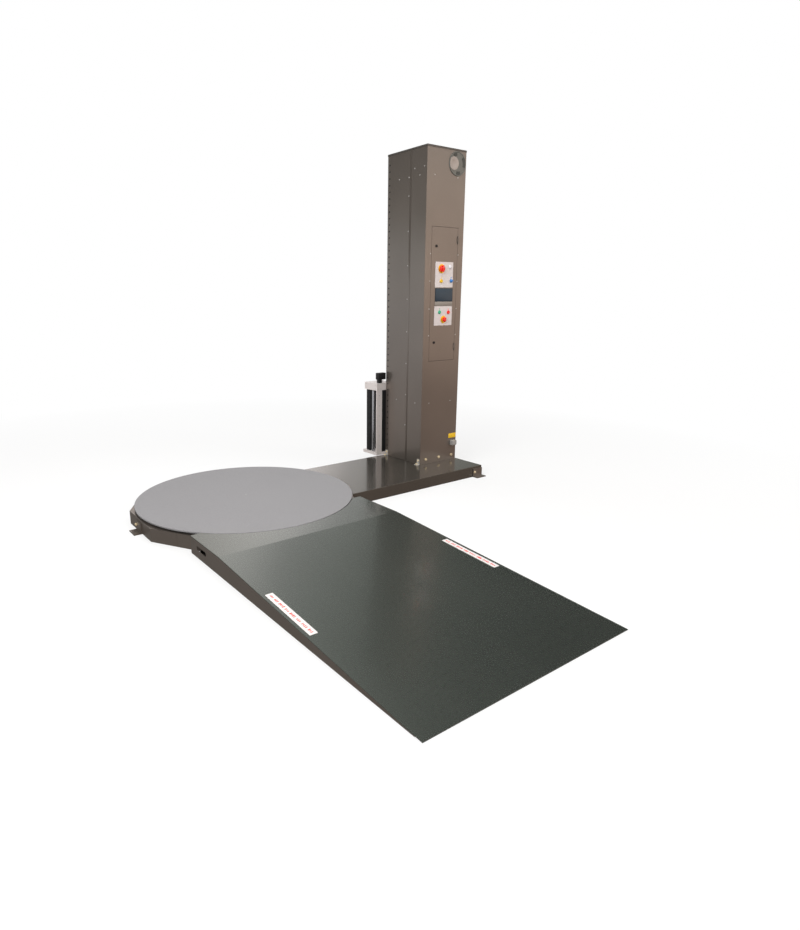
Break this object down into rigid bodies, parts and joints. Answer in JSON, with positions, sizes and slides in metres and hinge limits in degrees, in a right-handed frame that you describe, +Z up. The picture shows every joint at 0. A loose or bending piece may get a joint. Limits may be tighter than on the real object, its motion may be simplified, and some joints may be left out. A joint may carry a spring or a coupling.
{
  "type": "turntable pallet wrapper",
  "caption": "Stretch-film wrapping machine: a round turntable with a loading ramp, and a platform carrying a tall column with a film carriage and a control door.",
  "frame": {"origin": "turntable axis at floor level", "axes": "+X along the platform to the column, -Y down the loading ramp, +Z up"},
  "size_m": [2.798, 3.328, 2.56],
  "materials": {
    "body_paint": "smooth metallic grey-brown powder coat",
    "deck_paint": "satin dark green-grey paint",
    "disc_coating": "fine-grained light grey anti-slip coating",
    "cap_paint": "dark powder coat",
    "frame_steel": "primed structural steel",
    "machined_steel": "turned and ground steel",
    "gearmotor_cast": "painted gear housing",
    "belt_rubber": "black moulded belt",
    "wheel_nylon": "cast nylon",
    "pulley_alloy": "machined aluminium",
    "zinc": "yellow zinc plated",
    "zinc_clear": "clear zinc plated",
    "label_white": "white film label",
    "plate_white": "white engraved laminate",
    "badge": "plain pressed ring",
    "carriage_grey": "light grey paint",
    "black_paint": "black paint",
    "black_plastic": "moulded black plastic",
    "roller_rubber": "ground black rubber",
    "chrome": "polished chrome",
    "core_alloy": "turned aluminium",
    "screen": "dark screen in a grey bezel",
    "red": "red moulded plastic",
    "green": "green moulded plastic",
    "yellow": "yellow plastic",
    "blue": "blue moulded plastic",
    "device_grey": "moulded electrical housings"
  },
  "bodies": {
    "base": {"ring_skirt": "body_paint", "base_frame": "frame_steel", "pivot_spigot": "machined_steel", "wheel_brackets": "frame_steel", "turntable_gearmotor": "gearmotor_cast", "drive_belt": "belt_rubber", "platform_cover": "body_paint", "platform_beams": "frame_steel", "anchor_feet": "body_paint", "ramp_deck": "deck_paint", "ramp_cheeks": "body_paint", "ramp_ribs": "frame_steel", "ramp_labels": "label_white", "column_frame": "frame_steel", "mast": "frame_steel", "lift_belt": "belt_rubber", "lift_gearmotor": "gearmotor_cast", "side_covers": "body_paint", "front_frame": "body_paint", "back_covers": "body_paint", "top_cap": "cap_paint", "round_badge": "badge", "corner_brackets": "zinc_clear", "fasteners": "zinc", "cover_screws": "zinc_clear", "electrics_panel": "device_grey", "power_inlet": "black_plastic", "warning_plate": "yellow"},
    "turntable": {"turntable_disc": "disc_coating", "turntable_hub": "machined_steel", "table_pulley": "pulley_alloy"},
    "drive_wheel": {"drive_pulley": "pulley_alloy"},
    "wheel_1": {"support_wheel_1": "wheel_nylon"},
    "wheel_2": {"support_wheel_2": "wheel_nylon"},
    "wheel_3": {"support_wheel_3": "wheel_nylon"},
    "wheel_4": {"support_wheel_4": "wheel_nylon"},
    "wheel_5": {"support_wheel_5": "wheel_nylon"},
    "wheel_6": {"support_wheel_6": "wheel_nylon"},
    "lift_wheel_bottom": {"lift_pulley_bottom": "pulley_alloy"},
    "lift_wheel_top": {"lift_pulley_top": "pulley_alloy"},
    "carriage": {"carriage_frame": "carriage_grey", "carriage_plate": "black_paint", "carriage_slider": "pulley_alloy", "photocell": "black_plastic", "stretch_belt": "belt_rubber"},
    "driven_roller": {"rubber_roller_1": "roller_rubber"},
    "fast_roller": {"rubber_roller_2": "roller_rubber"},
    "idler_roller": {"chrome_roller": "chrome"},
    "spindle": {"film_spindle": "core_alloy"},
    "door": {"cabinet_door": "body_paint", "control_plates": "plate_white", "touch_screen": "screen"},
    "reset": {"reset_button": "yellow"},
    "start": {"start_button": "green"},
    "stop": {"stop_button": "red"},
    "estop": {"estop_head": "red"},
    "main_switch": {"main_switch_knob": "red"},
    "selector": {"blue_selector": "blue"},
    "lower_lock": {"lock_lower": "black_plastic"},
    "upper_lock": {"lock_upper": "black_plastic"}
  },
  "joints": [
    {"name": "turntable_spin", "type": "hinge", "parent": "base", "child": "turntable", "pos_m": [0, 0, 0.11], "axis": [0, 0, 1], "continuous": true},
    {"name": "drive_pulley_spin", "type": "hinge", "parent": "base", "child": "drive_wheel", "pos_m": [0.96, 0, 0.06], "axis": [0, 0, 1], "continuous": true},
    {"name": "wheel_1_spin", "type": "hinge", "parent": "base", "child": "wheel_1", "pos_m": [0.55426, 0.32, 0.0747], "axis": [0.866, 0.5, 0], "continuous": true},
    {"name": "wheel_2_spin", "type": "hinge", "parent": "base", "child": "wheel_2", "pos_m": [0, 0.64, 0.0747], "axis": [0, 1, 0], "continuous": true},
    {"name": "wheel_3_spin", "type": "hinge", "parent": "base", "child": "wheel_3", "pos_m": [-0.55426, 0.32, 0.0747], "axis": [-0.866, 0.5, 0], "continuous": true},
    {"name": "wheel_4_spin", "type": "hinge", "parent": "base", "child": "wheel_4", "pos_m": [-0.55426, -0.32, 0.0747], "axis": [-0.866, -0.5, 0], "continuous": true},
    {"name": "wheel_5_spin", "type": "hinge", "parent": "base", "child": "wheel_5", "pos_m": [0, -0.64, 0.0747], "axis": [0, -1, 0], "continuous": true},
    {"name": "wheel_6_spin", "type": "hinge", "parent": "base", "child": "wheel_6", "pos_m": [0.55426, -0.32, 0.0747], "axis": [0.866, -0.5, 0], "continuous": true},
    {"name": "carriage_lift", "type": "slide", "parent": "base", "child": "carriage", "axis": [0, 0, 1], "range_m": [0, 1.65]},
    {"name": "lift_pulley_bottom_spin", "type": "hinge", "parent": "base", "child": "lift_wheel_bottom", "pos_m": [1.762, 0.285, 0.15], "axis": [1, 0, 0], "continuous": true},
    {"name": "lift_pulley_top_spin", "type": "hinge", "parent": "base", "child": "lift_wheel_top", "pos_m": [1.762, 0.285, 2.43], "axis": [1, 0, 0], "continuous": true},
    {"name": "driven_roller_spin", "type": "hinge", "parent": "carriage", "child": "driven_roller", "pos_m": [1.511, 0.524, 0.4], "axis": [0, 0, 1], "continuous": true},
    {"name": "fast_roller_spin", "type": "hinge", "parent": "carriage", "child": "fast_roller", "pos_m": [1.6, 0.524, 0.4], "axis": [0, 0, 1], "continuous": true},
    {"name": "chrome_roller_spin", "type": "hinge", "parent": "carriage", "child": "idler_roller", "pos_m": [1.498, 0.459, 0.4], "axis": [0, 0, 1], "continuous": true},
    {"name": "film_spindle_spin", "type": "hinge", "parent": "carriage", "child": "spindle", "pos_m": [1.805, 0.532, 0.4], "axis": [0, 0, 1], "continuous": true},
    {"name": "door_hinge", "type": "hinge", "parent": "base", "child": "door", "pos_m": [1.926, -0.083, 1.4], "axis": [0, 0, 1], "range_deg": [0, 110]},
    {"name": "reset_press", "type": "slide", "parent": "door", "child": "reset", "axis": [0, 1, 0], "range_m": [0, 0.003], "stiffness_N_per_m": 300},
    {"name": "start_press", "type": "slide", "parent": "door", "child": "start", "axis": [0, 1, 0], "range_m": [0, 0.003], "stiffness_N_per_m": 300},
    {"name": "stop_press", "type": "slide", "parent": "door", "child": "stop", "axis": [0, 1, 0], "range_m": [0, 0.003], "stiffness_N_per_m": 300},
    {"name": "estop_press", "type": "slide", "parent": "door", "child": "estop", "axis": [0, 1, 0], "range_m": [0, 0.004]},
    {"name": "main_switch_turn", "type": "hinge", "parent": "door", "child": "main_switch", "pos_m": [1.756, -0.08, 1.673], "axis": [0, 1, 0], "range_deg": [0, 90]},
    {"name": "selector_turn", "type": "hinge", "parent": "door", "child": "selector", "pos_m": [1.865, -0.08, 1.581], "axis": [0, 1, 0], "range_deg": [-45, 45]},
    {"name": "lower_lock_turn", "type": "hinge", "parent": "door", "child": "lower_lock", "pos_m": [1.695, -0.08, 1.098], "axis": [0, 1, 0], "range_deg": [0, 90]},
    {"name": "upper_lock_turn", "type": "hinge", "parent": "door", "child": "upper_lock", "pos_m": [1.695, -0.08, 1.842], "axis": [0, 1, 0], "range_deg": [0, 90]}
  ],
  "couplings": [
    {"joint": "drive_pulley_spin", "follows": "turntable_spin", "ratio": 5},
    {"joint": "wheel_1_spin", "follows": "turntable_spin", "ratio": -25.6},
    {"joint": "wheel_2_spin", "follows": "turntable_spin", "ratio": -25.6},
    {"joint": "wheel_3_spin", "follows": "turntable_spin", "ratio": -25.6},
    {"joint": "wheel_4_spin", "follows": "turntable_spin", "ratio": -25.6},
    {"joint": "wheel_5_spin", "follows": "turntable_spin", "ratio": -25.6},
    {"joint": "wheel_6_spin", "follows": "turntable_spin", "ratio": -25.6},
    {"joint": "lift_pulley_bottom_spin", "follows": "carriage_lift", "rad_per_m": 45.872},
    {"joint": "lift_pulley_top_spin", "follows": "carriage_lift", "rad_per_m": 45.872},
    {"joint": "fast_roller_spin", "follows": "driven_roller_spin", "ratio": 1.6}
  ]
}
